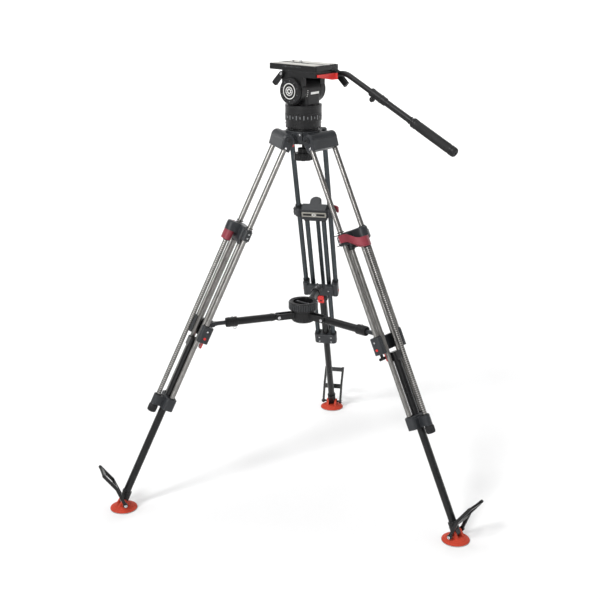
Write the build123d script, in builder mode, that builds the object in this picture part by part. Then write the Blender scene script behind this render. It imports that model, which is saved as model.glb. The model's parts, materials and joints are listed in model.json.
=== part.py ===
from build123d import *
import math
import os

os.makedirs("parts", exist_ok=True)

# ---------------------------------------------------------------- driving dimensions (mm)
AXIS_Y = 157.6            # crown axis, ahead of the origin under the whole object's middle
LEGS = {"front_right": 60.0, "rear": 180.0, "front_left": 300.0}    # azimuth from +Y towards +X

HINGE_R = 68.0            # leg hinge: radius and height
HINGE_Z = 1195.0
ANKLE_R = 627.0           # ankle pivot: radius and height
ANKLE_Z = 26.0
TILT = math.degrees(math.atan2(ANKLE_R - HINGE_R, HINGE_Z - ANKLE_Z))
ANKLE_S = math.hypot(ANKLE_R - HINGE_R, HINGE_Z - ANKLE_Z)

RUN = 0.06                # radial running clearance
GAP = 0.5                 # clearance between flat moving faces

# leg: distances down the leg from its hinge, sideways from its middle plane
UPPER_W = 53.5            # upper tube pair
MID_W = 28.75             # middle tube pair
TUBE_R = 8.0
LOWER_R = 12.0            # single lower tube
LOWER_N = 3.0
ROD_R = 7.0               # control rod in front of the middle tubes
ROD_N = 38.0
LUG_W = 34.0              # half width of a crown lug
CHEEK_W = 62.0            # half width of a yoke
PIN_R = 6.0
LUG_R = 17.0              # end of a crown lug
YOKE_R = 20.0             # head of a yoke, round its hinge
YOKE_END = 35.0
TUBE_SEAT = 22.0          # depth of a tube in the yoke
SLIT_S = 5.0              # parting slit across the yoke's cover
CLAMP_TOP = 304.0         # sliding clamp housing
CLAMP_END = 345.0
SLEEVE_OUTER_R = 14.5
DOME_R = 19.0             # dome over the head of the control rod
DOME_END = 26.0
LEVER_HUB_LENGTH = 31.0
BRACKET_TOP = 637.0       # lower bracket on the upper tubes
BRACKET_END = 692.0
ARM_S = 635.0             # spreader arm's pivot on the lower bracket
ARM_N = -36.0
SLIDER_TOP = 698.0        # slider at the head of the lower tube
SLIDER_END = 726.0
MID_TOP = 905.0           # bracket at the foot of the middle tubes
MID_END = 946.0
KNOB_END = 972.0

# foot
PAD_R = 44.0
PAD_HEIGHT = 15.0
TONGUE_W = 10.0           # half width of the ankle tongue
ANKLE_PIN_R = 4.0
LEVER_W = 38.0            # half width of the foot lever
LEVER_ANGLE = 47.0        # from the leg, outwards
LEVER_LENGTH = 135.0

# spreader
HUB_PIVOT_R = 88.2
HUB_TOP = 651.0
HUB_RING_R = 47.8
HUB_RING_HEIGHT = 25.0
HUB_BODY_R = 39.5
HUB_BOTTOM = 584.0
HUB_CUP_R = 34.0
ARM_PIN_R = 4.0
BRACKET_PIN_R = 3.4
THICK_R = 12.3            # outer arm tube and its bore
THICK_BORE = 11.45
THIN_R = 6.8
COLLAR_R = 15.5
ARM_COLLAR_END = 174.0    # end of the collar, from the hub pivot
ARM_COLLAR_LENGTH = 34.0
THIN_LENGTH = 84.0        # thin rod, from the bracket pivot

# crown and head
BALL_R = 50.0
BALL_Z = 1222.0
RIM_Z = 1217.0
PIN_HEAD = 3.5            # head of a hinge pin
CROWN_R = 56.0
CROWN_BOTTOM = 1176.0
STUD_R = 5.0
KNOB_R = 29.5
KNOB_BOTTOM = 1121.0
KNOB_TOP = 1158.0
BASE_BOTTOM = 1225.0
BASE_R = 55.5
CORE_R = 50.0
RING_BOTTOM = 1248.0
RING_TOP = 1271.0
RING_R = 57.3
COLLAR_TOP = 1296.0
TILT_Z = 1341.0
BARREL_R = 42.5
BARREL_X = 34.0
CHEEK_X = 56.0
AXLE_R = 10.0
DIAL_R = 40.0
DIAL_X = 66.0
PLATFORM_Z = 1385.0
PLATE_Z = 1402.0
PLATE_TOP = 1420.0
PLATE_X = 56.0
PLATE_FRONT = 94.0
PLATE_REAR = -95.0
PLATFORM_FRONT = 42.0
BRAKE_Y = 36.0            # tilt brake's pivot
BRAKE_Z = 1391.0
RELEASE_X = 34.0          # plate release lever's pivot
RELEASE_Y = -101.0
SCREWS = ((10.0, 4.76), (42.0, 3.18))     # camera screws: place along the plate, stud radius

# pan bar
BAR_X = 66.0
BAR_R = 8.5
BAR_Y = -70.0             # rosette
BAR_Z = 1388.0
BAR_DROP = 26.0           # slope of the straight part, below level
BEND_Y = -115.0
BEND_Z = 1392.0
BEND_R = 60.0
BAR_END = 340.0           # distances down the bar from its bend
SLEEVE_START = 108.0
SLEEVE_END = 446.0
GRIP_START = 279.0
GRIP_END = 452.0
EAR_T = 122.0             # ear under the collar: place along the bar, and drop below its axis
EAR_DROP = 19.0
BAR_COLLAR_R = 12.6
BAR_COLLAR_LENGTH = 62.0
SLEEVE_R = 10.2
GRIP_R = 14.0


def save(piece, label):
    """Label a finished piece and write it."""
    piece.part.label = label
    export_step(piece.part, f"parts/{label}.step")


def level(z, x=0.0, y=0.0):
    """Level plane at height z, about the crown axis."""
    return Plane(origin=(x, AXIS_Y + y, z))


def upright(x):
    """Plane across X: its own x is +Y from the crown axis, its own y is height."""
    return Plane(origin=(x, AXIS_Y, 0), x_dir=(0, 1, 0), z_dir=(1, 0, 0))


class Leg:
    """A leg's own directions: side, down the leg, and its outward normal."""

    def __init__(self, name, azimuth):
        turn = math.radians(azimuth)
        lean = math.radians(TILT)
        self.name = name
        self.out = Vector(math.sin(turn), math.cos(turn), 0)
        self.side = Vector(math.cos(turn), -math.sin(turn), 0)
        self.down = self.out * math.sin(lean) - Vector(0, 0, math.cos(lean))
        self.normal = self.out * math.cos(lean) + Vector(0, 0, math.sin(lean))
        self.axis = Vector(0, AXIS_Y, 0)
        self.hinge = self.axis + self.out * HINGE_R + Vector(0, 0, HINGE_Z)

    def across(self, s, w=0.0, n=0.0):
        """Section at s down the leg: own x is w, own y is n, its normal points up the leg."""
        origin = self.hinge + self.down * s + self.side * w + self.normal * n
        return Plane(origin=origin, x_dir=self.side, z_dir=self.down * -1)

    def edge(self, w):
        """Side view: own x is s, own y is n, its normal is +w."""
        return Plane(origin=self.hinge + self.side * w, x_dir=self.down, z_dir=self.side)

    def face(self, n):
        """Front view: own x is w, own y is s, its normal is +n."""
        return Plane(origin=self.hinge + self.normal * n, x_dir=self.side, z_dir=self.normal)

    def radial(self, w):
        """Upright side view: own x is radius, own y is height, its normal is +w."""
        return Plane(origin=self.axis + self.side * w, x_dir=self.out, z_dir=self.side)

    def floor(self, r, z):
        """Level plane at radius r and height z: own x is w, own y is outwards."""
        return Plane(origin=self.axis + self.out * r + Vector(0, 0, z), x_dir=self.side, z_dir=(0, 0, 1))

    def spoke(self, r, z):
        """Section across a level arm at radius r: its normal points outwards."""
        origin = self.axis + self.out * r + Vector(0, 0, z)
        return Plane(origin=origin, x_dir=self.side * -1, z_dir=self.out)


# the arm's pivots, in radius and height
LEAN = math.radians(TILT)
ARM_R = HINGE_R + ARM_S * math.sin(LEAN) + ARM_N * math.cos(LEAN)
ARM_Z = HINGE_Z - ARM_S * math.cos(LEAN) + ARM_N * math.sin(LEAN)


# ---------------------------------------------------------------- legs
def make_yoke(leg):
    """Head of a leg: two cheeks and a front cover that wrap round the crown's lug."""
    with BuildPart() as yoke:
        with BuildSketch(leg.edge(-CHEEK_W)):
            Circle(YOKE_R)
            with Locations((YOKE_END - 6, -1)):
                Rectangle(12, 31)
            make_hull()
        extrude(amount=2 * CHEEK_W)
        sides = yoke.faces().sort_by(lambda f: (f.center() - leg.hinge).dot(leg.side))
        chamfer(sides[0].edges() + sides[-1].edges(), 4)
        with BuildSketch(leg.edge(-LUG_W - GAP)):
            Circle(LUG_R + GAP)
            with BuildLine():
                Polyline((0, 0), (LUG_R + GAP, 0), (LUG_R + GAP, -30), (-40, -30), (-40, 7.2), (-15, 7.2), close=True)
            make_face()
            with Locations((YOKE_END / 2, -9)):
                Rectangle(YOKE_END - 12, 38)
        extrude(amount=2 * (LUG_W + GAP), mode=Mode.SUBTRACT)
        with BuildSketch(leg.edge(-CHEEK_W)):
            with Locations((SLIT_S, YOKE_R)):
                Rectangle(1.6, 3)
        extrude(amount=2 * CHEEK_W, mode=Mode.SUBTRACT)
        with BuildSketch(leg.across(YOKE_END)):
            with Locations((UPPER_W, 0), (-UPPER_W, 0)):
                Circle(TUBE_R + RUN)
        extrude(amount=TUBE_SEAT + GAP, mode=Mode.SUBTRACT)
        with BuildSketch(leg.edge(-CHEEK_W - 1)):
            Circle(PIN_R + RUN)
        extrude(amount=2 * CHEEK_W + 2, mode=Mode.SUBTRACT)
    save(yoke, f"yoke_{leg.name}")


def make_upper_tubes(leg):
    """Pair of upper tubes, from the yoke to the lower bracket."""
    with BuildPart() as upper_tubes:
        with BuildSketch(leg.across(BRACKET_END - 6)):
            with Locations((UPPER_W, 0), (-UPPER_W, 0)):
                Circle(TUBE_R)
                Circle(TUBE_R - 1.6, mode=Mode.SUBTRACT)
        extrude(amount=BRACKET_END - 6 - (YOKE_END - TUBE_SEAT))
    save(upper_tubes, f"upper_tubes_{leg.name}")


def make_lower_bracket(leg):
    """Bracket on the feet of the upper tubes: two caps, an inner bridge and the arm's fork."""
    height = BRACKET_END - BRACKET_TOP
    with BuildPart() as lower_bracket:
        with BuildSketch(leg.across(BRACKET_END)):
            with Locations((52, -7), (-52, -7)):
                RectangleRounded(22, 38, 9.5)
        extrude(amount=height)
        ends = lower_bracket.faces().sort_by(lambda f: (f.center() - leg.hinge).dot(leg.down))
        chamfer(ends[0].edges() + ends[1].edges(), 2)
        with BuildSketch(leg.across(BRACKET_END - 4)):
            with Locations((0, -22)):
                Rectangle(92, 13)
        extrude(amount=height - 10)
        with BuildSketch(leg.edge(6.4), leg.edge(-11.4)):
            with Locations((ARM_S, ARM_N)):
                Circle(8)
            with Locations((ARM_S + 10, -29)):
                Rectangle(24, 14)
        extrude(amount=5)
        with BuildSketch(leg.edge(-13)):
            with Locations((ARM_S, ARM_N)):
                Circle(BRACKET_PIN_R)
        extrude(amount=26)
        with BuildSketch(leg.across(BRACKET_END - 6 + RUN)):
            with Locations((UPPER_W, 0), (-UPPER_W, 0)):
                Circle(TUBE_R + RUN)
        extrude(amount=height, mode=Mode.SUBTRACT)
    save(lower_bracket, f"lower_bracket_{leg.name}")


def make_clamp_housing(leg):
    """Sliding clamp housing: sleeves on the upper tubes, a block for the middle tubes, a dome on the rod."""
    height = CLAMP_END - CLAMP_TOP
    with BuildPart() as clamp_housing:
        with BuildSketch(leg.across(CLAMP_END - 6)):
            with Locations((UPPER_W, 0), (-UPPER_W, 0)):
                Circle(SLEEVE_OUTER_R)
            Rectangle(2 * UPPER_W, 24)
        extrude(amount=height - 8)
        ends = clamp_housing.faces().sort_by(lambda f: (f.center() - leg.hinge).dot(leg.down))
        chamfer(ends[0].edges() + ends[-1].edges(), 1.6)
        with BuildSketch(leg.across(CLAMP_END - 10)):
            with Locations((UPPER_W + SLEEVE_OUTER_R, 0), (-UPPER_W - SLEEVE_OUTER_R, 0)):
                RectangleRounded(7, 15, 2)
        extrude(amount=height - 16)
        with BuildSketch(leg.across(CLAMP_END)):
            RectangleRounded(90, 34, 7)
        extrude(amount=height + 4)
        with BuildSketch(leg.across(CLAMP_TOP + DOME_END)):
            with Locations((0, ROD_N)):
                Circle(DOME_R)
            with Locations((0, 24)):
                Rectangle(2 * DOME_R, 28)
        extrude(amount=DOME_END + 4)
        top = clamp_housing.faces().sort_by(lambda f: (f.center() - leg.hinge).dot(leg.down))[0]
        chamfer(top.edges(), 3.5)
        with BuildSketch(leg.across(CLAMP_END + 10)):
            RectangleRounded(2 * MID_W + 22, 22, 9)
        extrude(amount=12)
        with BuildSketch(leg.across(CLAMP_TOP + 4)):
            with Locations((UPPER_W, 0), (-UPPER_W, 0)):
                Circle(TUBE_R + 3.5)
        extrude(amount=6)
        with BuildSketch(leg.across(CLAMP_END)):
            with Locations((UPPER_W, 0), (-UPPER_W, 0)):
                Circle(TUBE_R + RUN)
        extrude(amount=height + 5, mode=Mode.SUBTRACT)
        with BuildSketch(leg.across(CLAMP_END + 10)):
            with Locations((MID_W, 0), (-MID_W, 0)):
                Circle(TUBE_R + RUN)
        extrude(amount=height, mode=Mode.SUBTRACT)
        with BuildSketch(leg.across(CLAMP_TOP + DOME_END)):
            with Locations((0, ROD_N)):
                Circle(ROD_R + RUN)
        extrude(amount=DOME_END - 8, mode=Mode.SUBTRACT)
    save(clamp_housing, f"clamp_housing_{leg.name}")


def make_mid_tubes(leg):
    """Middle tubes and the control rod in front of them."""
    with BuildPart() as mid_tubes:
        with BuildSketch(leg.across(MID_END - 8)):
            with Locations((MID_W, 0), (-MID_W, 0)):
                Circle(TUBE_R)
                Circle(TUBE_R - 1.6, mode=Mode.SUBTRACT)
        extrude(amount=MID_END - 8 - CLAMP_TOP - 14)
        with BuildSketch(leg.across(MID_END - 4)):
            with Locations((0, ROD_N)):
                Circle(ROD_R)
        extrude(amount=MID_END - 4 - CLAMP_TOP - 8)
    save(mid_tubes, f"mid_tubes_{leg.name}")


def make_mid_bracket(leg):
    """Bracket at the feet of the middle tubes, which guides the lower tube."""
    height = MID_END - MID_TOP
    with BuildPart() as mid_bracket:
        with BuildSketch(leg.across(MID_END)):
            RectangleRounded(82, 36, 12)
        extrude(amount=height)
        with BuildSketch(leg.across(MID_END)):
            with Locations((0, ROD_N)):
                Circle(13)
            with Locations((0, 26)):
                Rectangle(26, 24)
        extrude(amount=height - 8)
        ends = mid_bracket.faces().sort_by(lambda f: (f.center() - leg.hinge).dot(leg.down))
        chamfer(ends[0].edges(), 2.5)
        with BuildSketch(leg.across(MID_END - 8)):
            with Locations((MID_W, 0), (-MID_W, 0)):
                Circle(TUBE_R + RUN)
        extrude(amount=height, mode=Mode.SUBTRACT)
        with BuildSketch(leg.across(MID_END)):
            with Locations((0, LOWER_N)):
                Circle(LOWER_R + RUN)
        extrude(amount=height, mode=Mode.SUBTRACT)
        with BuildSketch(leg.across(MID_END - 4)):
            with Locations((0, ROD_N)):
                Circle(ROD_R + RUN)
        extrude(amount=height, mode=Mode.SUBTRACT)
    save(mid_bracket, f"mid_bracket_{leg.name}")


def make_lock_knob(leg):
    """Knurled knob that turns the control rod's lock."""
    with BuildPart() as lock_knob:
        with BuildSketch(leg.across(KNOB_END)):
            with Locations((0, ROD_N)):
                Circle(14)
        extrude(amount=KNOB_END - MID_END - 0.6)
        ends = lock_knob.edges().filter_by(GeomType.CIRCLE)
        chamfer(ends, 1.6)
    save(lock_knob, f"lock_knob_{leg.name}")


def make_clamp_lever(leg):
    """Clamp lever: a hub on the control rod and an S-shaped blade that climbs round the housing."""
    top = CLAMP_TOP + DOME_END + GAP
    low = top + LEVER_HUB_LENGTH
    with BuildPart() as clamp_lever:
        with BuildSketch(leg.across(low)):
            with BuildLine():
                front = Spline((-2, ROD_N + 14.5), (20, ROD_N + 11), (44, 24), (62, 20), (82, 11))
                back = Spline((79, 6.5), (61, 15.8), (42, 18.5), (26, 28), (8, ROD_N + 4), (-2, ROD_N + 4))
                Line(front @ 1, back @ 0)
                Line(back @ 1, front @ 0)
            make_face()
        extrude(amount=low - CLAMP_TOP + 4)
        with BuildSketch(leg.face(0)):
            with BuildLine():
                Line((-20, top), (20, top))
                upper = Spline((20, top), (38, top - 11), (58, top - 24), (90, top - 24), tangents=[(1, 0), (1, 0)])
                lower = Spline((90, low - 32), (60, low - 30), (34, low - 14), (8, low), tangents=[(-1, 0), (-1, 0)])
                Line(upper @ 1, lower @ 0)
                Line(lower @ 1, (-20, low))
                Line((-20, low), (-20, top))
            make_face()
        extrude(amount=80, mode=Mode.INTERSECT)
        with BuildSketch(leg.across(low)):
            with Locations((0, ROD_N)):
                Circle(14.5)
        extrude(amount=LEVER_HUB_LENGTH)
        with BuildSketch(leg.across(low)):
            with Locations((0, ROD_N)):
                Circle(ROD_R + RUN)
        extrude(amount=LEVER_HUB_LENGTH, mode=Mode.SUBTRACT)
    save(clamp_lever, f"clamp_lever_{leg.name}")


def make_lower_stage(leg):
    """Slider, lower tube, ankle tongue and ankle pin."""
    with BuildPart() as lower_stage:
        with BuildSketch(leg.across(SLIDER_END)):
            with Locations((0, 2)):
                RectangleRounded(40, 32, 6)
        extrude(amount=SLIDER_END - SLIDER_TOP)
        with BuildSketch(leg.across(ANKLE_S - 30)):
            with Locations((0, LOWER_N)):
                Circle(LOWER_R)
        extrude(amount=ANKLE_S - 30 - SLIDER_TOP - 4)
        with BuildSketch(leg.across(ANKLE_S - 12)):
            with Locations((0, 1)):
                Circle(LOWER_R + 3)
        extrude(amount=24)
        with BuildSketch(leg.edge(-TONGUE_W)):
            with Locations((ANKLE_S, 0)):
                Circle(11)
            with Locations((ANKLE_S - 12, 0)):
                Rectangle(24, 22)
        extrude(amount=2 * TONGUE_W)
        with BuildSketch(leg.edge(-LEVER_W - 2)):
            with Locations((ANKLE_S, 0)):
                Circle(ANKLE_PIN_R)
        extrude(amount=2 * LEVER_W + 4)
    save(lower_stage, f"lower_stage_{leg.name}")


def make_foot_pad(leg):
    """Rubber foot pad with two clevis blades that take the ankle pin."""
    with BuildPart() as foot_pad:
        with BuildSketch(leg.floor(ANKLE_R, 0)):
            Circle(PAD_R)
        extrude(amount=4)
        with BuildSketch(leg.floor(ANKLE_R, 4)):
            Circle(PAD_R - 1)
        with BuildSketch(leg.floor(ANKLE_R, PAD_HEIGHT)):
            Circle(25)
        loft()
        with BuildSketch(leg.radial(TONGUE_W + GAP), leg.radial(-TONGUE_W - GAP - 9)):
            with BuildLine():
                Polyline((ANKLE_R - 24, 8), (ANKLE_R + 24, 8), (ANKLE_R + 10, ANKLE_Z + 3),
                         (ANKLE_R - 10, ANKLE_Z + 3), close=True)
            make_face()
            with Locations((ANKLE_R, ANKLE_Z)):
                Circle(10.5)
        extrude(amount=9)
        with BuildSketch(leg.radial(0)):
            with Locations((ANKLE_R, ANKLE_Z)):
                Circle(13)
        extrude(amount=TONGUE_W + GAP, both=True, mode=Mode.SUBTRACT)
        with BuildSketch(leg.radial(-PAD_R)):
            with Locations((ANKLE_R, ANKLE_Z)):
                Circle(ANKLE_PIN_R + RUN)
        extrude(amount=2 * PAD_R, mode=Mode.SUBTRACT)
    save(foot_pad, f"foot_pad_{leg.name}")


def make_foot_lever(leg):
    """H-shaped lever on the ankle pin: two side arms joined by two crossbars."""
    raise_angle = 180.0 - LEVER_ANGLE
    with BuildPart() as foot_lever:
        with BuildSketch(leg.edge(LEVER_W - 8), leg.edge(-LEVER_W)):
            with BuildLine():
                lift = math.radians(raise_angle)
                bend = math.radians(raise_angle - 15)
                foot = Vector(ANKLE_S, 0)
                elbow = foot + Vector(math.cos(lift), math.sin(lift)) * 70
                tip = elbow + Vector(math.cos(bend), math.sin(bend)) * (LEVER_LENGTH - 70)
                spine = Polyline(foot, elbow, tip)
                offset(spine, amount=5, side=Side.BOTH)
            make_face()
            with Locations((ANKLE_S, 0)):
                Circle(8)
        extrude(amount=8)
        middle = foot + Vector(math.cos(lift), math.sin(lift)) * 60
        with BuildSketch(leg.edge(-LEVER_W + 2)):
            with Locations(middle):
                Rectangle(18, 7, rotation=raise_angle)
            with Locations(tip - Vector(math.cos(bend), math.sin(bend)) * 6):
                Rectangle(16, 7, rotation=raise_angle - 15)
        extrude(amount=2 * LEVER_W - 4)
        with BuildSketch(leg.edge(-LEVER_W)):
            with Locations((ANKLE_S, 0)):
                Circle(ANKLE_PIN_R + RUN)
        extrude(amount=2 * LEVER_W, mode=Mode.SUBTRACT)
    save(foot_lever, f"foot_lever_{leg.name}")


def make_release_lever(leg):
    """Quick-release tab that hangs under the lower bracket's bridge."""
    with BuildPart() as release_lever:
        with BuildSketch(leg.face(-30)):
            with Locations((0, BRACKET_END + 15)):
                RectangleRounded(22, 34, 6)
                with Locations((0, 6)):
                    Circle(4.5, mode=Mode.SUBTRACT)
        extrude(amount=5)
    save(release_lever, f"release_lever_{leg.name}")


def make_arm_inner(leg):
    """Thick arm tube on the hub: eye, tube and end collar."""
    with BuildPart() as arm_inner:
        with BuildSketch(leg.spoke(HUB_PIVOT_R + 18, ARM_Z)):
            Circle(THICK_R)
            Circle(THICK_BORE, mode=Mode.SUBTRACT)
        extrude(amount=ARM_COLLAR_END - 22)
        with BuildSketch(leg.spoke(HUB_PIVOT_R + 14, ARM_Z)):
            Circle(THICK_R)
        extrude(amount=8)
        with BuildSketch(leg.radial(-7)):
            with Locations((HUB_PIVOT_R, ARM_Z)):
                Circle(9)
            with Locations((HUB_PIVOT_R + 9, ARM_Z)):
                Rectangle(18, 18)
        extrude(amount=14)
        with BuildSketch(leg.spoke(HUB_PIVOT_R + ARM_COLLAR_END - ARM_COLLAR_LENGTH, ARM_Z)):
            Circle(COLLAR_R)
            Circle(THICK_BORE, mode=Mode.SUBTRACT)
        extrude(amount=ARM_COLLAR_LENGTH)
        with BuildSketch(leg.radial(-8)):
            with Locations((HUB_PIVOT_R, ARM_Z)):
                Circle(ARM_PIN_R + RUN)
        extrude(amount=16, mode=Mode.SUBTRACT)
    save(arm_inner, f"arm_inner_{leg.name}")


def make_arm_outer(leg):
    """Thin arm rod on the lower bracket, which slides inside the thick tube."""
    with BuildPart() as arm_outer:
        with BuildSketch(leg.spoke(ARM_R - THIN_LENGTH, ARM_Z)):
            Circle(THIN_R)
        extrude(amount=THIN_LENGTH - 9)
        with BuildSketch(leg.radial(-5.8)):
            with Locations((ARM_R, ARM_Z)):
                Circle(7.4)
            with Locations((ARM_R - 7, ARM_Z)):
                Rectangle(14, 12)
        extrude(amount=11.6)
        with BuildSketch(leg.radial(-8)):
            with Locations((ARM_R, ARM_Z)):
                Circle(BRACKET_PIN_R + RUN)
        extrude(amount=16, mode=Mode.SUBTRACT)
    save(arm_outer, f"arm_outer_{leg.name}")


ALL_LEGS = [Leg(name, azimuth) for name, azimuth in LEGS.items()]
LEG_PIECES = (make_yoke, make_upper_tubes, make_lower_bracket, make_clamp_housing, make_mid_tubes,
              make_mid_bracket, make_lock_knob, make_clamp_lever, make_lower_stage, make_foot_pad,
              make_foot_lever, make_release_lever, make_arm_inner, make_arm_outer)
for one_leg in ALL_LEGS:
    for make_piece in LEG_PIECES:
        make_piece(one_leg)


# ---------------------------------------------------------------- spreader hub
with BuildPart() as hub_body:
    with BuildSketch(upright(0)):
        with BuildLine():
            Polyline((0, HUB_BOTTOM), (HUB_BODY_R - 5, HUB_BOTTOM), (HUB_BODY_R, HUB_BOTTOM + 5),
                     (HUB_BODY_R, HUB_TOP - HUB_RING_HEIGHT - 4), (HUB_RING_R, HUB_TOP - HUB_RING_HEIGHT),
                     (HUB_RING_R, HUB_TOP - 2), (HUB_RING_R - 2, HUB_TOP), (0, HUB_TOP), close=True)
        make_face()
    revolve(axis=Axis((0, AXIS_Y, 0), (0, 0, 1)))
    with BuildSketch(level(HUB_BOTTOM)):
        with PolarLocations(HUB_BODY_R + 5, 12, start_angle=15):
            Circle(7)
    extrude(amount=16, mode=Mode.SUBTRACT)
    for one_leg in ALL_LEGS:
        with BuildSketch(one_leg.radial(7.6), one_leg.radial(-13)):
            with Locations((HUB_PIVOT_R, ARM_Z)):
                Circle(10)
            with Locations(((HUB_PIVOT_R + 30) / 2, ARM_Z)):
                Rectangle(HUB_PIVOT_R - 30, 20)
        extrude(amount=5.4)
        with BuildSketch(one_leg.radial(-15)):
            with Locations((HUB_PIVOT_R, ARM_Z)):
                Circle(ARM_PIN_R)
        extrude(amount=30)
    with BuildSketch(level(HUB_BOTTOM + 8)):
        Circle(HUB_CUP_R)
    extrude(amount=HUB_TOP - HUB_BOTTOM, mode=Mode.SUBTRACT)
    with BuildSketch(level(HUB_TOP - 15)):
        Rectangle(11, 76)
    extrude(amount=9)
    with BuildSketch(level(HUB_TOP - HUB_RING_HEIGHT + 4)):
        with PolarLocations(HUB_RING_R + 1.1, 40):
            Circle(2.2)
    extrude(amount=HUB_RING_HEIGHT - 9, mode=Mode.SUBTRACT)
save(hub_body, "hub_body")


# ---------------------------------------------------------------- crown, half ball and tie-down
with BuildPart() as crown:
    with BuildSketch(upright(0)):
        with BuildLine():
            Polyline((0, CROWN_BOTTOM), (37, CROWN_BOTTOM), (50, CROWN_BOTTOM + 19), (CROWN_R, CROWN_BOTTOM + 29),
                     (CROWN_R, RIM_Z - 1.5), (CROWN_R - 1.5, RIM_Z), (0, RIM_Z), close=True)
        make_face()
    revolve(axis=Axis((0, AXIS_Y, 0), (0, 0, 1)))
    for one_leg in ALL_LEGS:
        with BuildSketch(one_leg.radial(-LUG_W)):
            with Locations((HINGE_R, HINGE_Z)):
                Circle(LUG_R)
            with Locations((HINGE_R / 2 + 15, HINGE_Z + 1)):
                Rectangle(HINGE_R - 30, 2 * LUG_R - 2)
        extrude(amount=2 * LUG_W)
        with BuildSketch(one_leg.radial(-CHEEK_W - 1)):
            with Locations((HINGE_R, HINGE_Z)):
                Circle(PIN_R)
        extrude(amount=2 * CHEEK_W + 2)
        with BuildSketch(one_leg.radial(CHEEK_W + GAP), one_leg.radial(-CHEEK_W - GAP - PIN_HEAD)):
            with Locations((HINGE_R, HINGE_Z)):
                Circle(9)
        extrude(amount=PIN_HEAD)
        with BuildSketch(one_leg.radial(-7)):
            with BuildLine():
                Polyline((-40, CROWN_BOTTOM + 6), (-47, CROWN_BOTTOM + 6), (-62, RIM_Z - 14), (-62, RIM_Z - 2),
                         (-40, RIM_Z - 2), close=True)
            make_face()
        extrude(amount=14)
    with Locations((0, AXIS_Y, BALL_Z)):
        Sphere(BALL_R + 0.3, mode=Mode.SUBTRACT)
save(crown, "crown")

with BuildPart() as half_ball:
    with BuildSketch(upright(0)):
        with BuildLine():
            low = BALL_Z - 42
            low_r = math.sqrt(BALL_R ** 2 - 42 ** 2)
            Line((0, low), (low_r, low))
            RadiusArc((low_r, low), (BALL_R, BALL_Z), -BALL_R)
            Polyline((BALL_R, BALL_Z), (34, BALL_Z), (34, BASE_BOTTOM), (0, BASE_BOTTOM), (0, low))
        make_face()
    revolve(axis=Axis((0, AXIS_Y, 0), (0, 0, 1)))
    with BuildSketch(level(KNOB_BOTTOM + 4)):
        Circle(STUD_R)
    extrude(amount=low - KNOB_BOTTOM)
save(half_ball, "half_ball")

with BuildPart() as tie_down_knob:
    with BuildSketch(level(KNOB_BOTTOM)):
        Circle(KNOB_R)
        with PolarLocations(KNOB_R + 2, 9):
            Circle(5, mode=Mode.SUBTRACT)
    extrude(amount=22)
    with BuildSketch(level(KNOB_BOTTOM + 22)):
        Circle(18)
    extrude(amount=KNOB_TOP - KNOB_BOTTOM - 22)
    with BuildSketch(level(KNOB_BOTTOM + 3)):
        Circle(STUD_R + RUN)
    extrude(amount=KNOB_TOP - KNOB_BOTTOM, mode=Mode.SUBTRACT)
    ends = tie_down_knob.faces().filter_by(Plane.XY).sort_by(Axis.Z)
    chamfer(ends[0].edges(), 1.5)
save(tie_down_knob, "tie_down_knob")


# ---------------------------------------------------------------- pan stage
with BuildPart() as pan_base:
    with BuildSketch(level(BASE_BOTTOM)):
        Circle(BASE_R)
    extrude(amount=RING_BOTTOM - 0.3 - BASE_BOTTOM)
    with BuildSketch(level(BASE_BOTTOM)):
        Circle(CORE_R)
    extrude(amount=RING_TOP - 0.4 - BASE_BOTTOM)
    with BuildSketch(level(BASE_BOTTOM)):
        Circle(15)
    extrude(amount=COLLAR_TOP - 6 - BASE_BOTTOM)
    with BuildSketch(level(BASE_BOTTOM)):
        with PolarLocations(BASE_R, 24):
            Rectangle(5, 6)
    extrude(amount=5, mode=Mode.SUBTRACT)
    brake = Plane(origin=(0, AXIS_Y, BASE_BOTTOM + 1), z_dir=(0, 0, 1), x_dir=(1, 1, 0))
    with BuildSketch(brake):
        with Locations((60, 0)):
            Rectangle(20, 12)
    extrude(amount=6)
    with BuildSketch(brake):
        with Locations((64, 0)):
            Circle(3)
    extrude(amount=18)
save(pan_base, "pan_base")

with BuildPart() as pan_brake_lever:
    with BuildSketch(brake.offset(6.5)):
        with Locations((64, 0)):
            Circle(6.5)
        with Locations((84, -8)):
            RectangleRounded(44, 9, 4, rotation=-22)
        with Locations((64, 0)):
            Circle(3 + RUN, mode=Mode.SUBTRACT)
    extrude(amount=9)
save(pan_brake_lever, "pan_brake_lever")

with BuildPart() as pan_drag_ring:
    with BuildSketch(level(RING_BOTTOM)):
        Circle(RING_R)
        Circle(CORE_R + RUN, mode=Mode.SUBTRACT)
        with PolarLocations(RING_R + 0.8, 40):
            Circle(1.8, mode=Mode.SUBTRACT)
    extrude(amount=RING_TOP - RING_BOTTOM)
save(pan_drag_ring, "pan_drag_ring")

with BuildPart() as head_body:
    with BuildSketch(level(RING_TOP + 0.5)):
        Circle(RING_R)
    extrude(amount=COLLAR_TOP - RING_TOP - 0.5)
    with BuildSketch(level(COLLAR_TOP - 4)):
        RectangleRounded(2 * BARREL_X - 4, 2 * BARREL_R - 2, 8)
    extrude(amount=TILT_Z - COLLAR_TOP + 4)
    with BuildSketch(upright(-BARREL_X)):
        with Locations((0, TILT_Z)):
            Circle(BARREL_R)
    extrude(amount=2 * BARREL_X)
    chamfer(head_body.edges().filter_by(GeomType.CIRCLE).group_by(Axis.Z)[-1], 1.5)
    with BuildSketch(upright(-BARREL_X - 16)):
        with Locations((0, TILT_Z)):
            Circle(AXLE_R)
    extrude(amount=2 * BARREL_X + 32)
    with BuildSketch(level(RING_TOP)):
        Circle(15 + RUN)
    extrude(amount=COLLAR_TOP - 5.5 - RING_TOP, mode=Mode.SUBTRACT)
save(head_body, "head_body")


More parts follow.
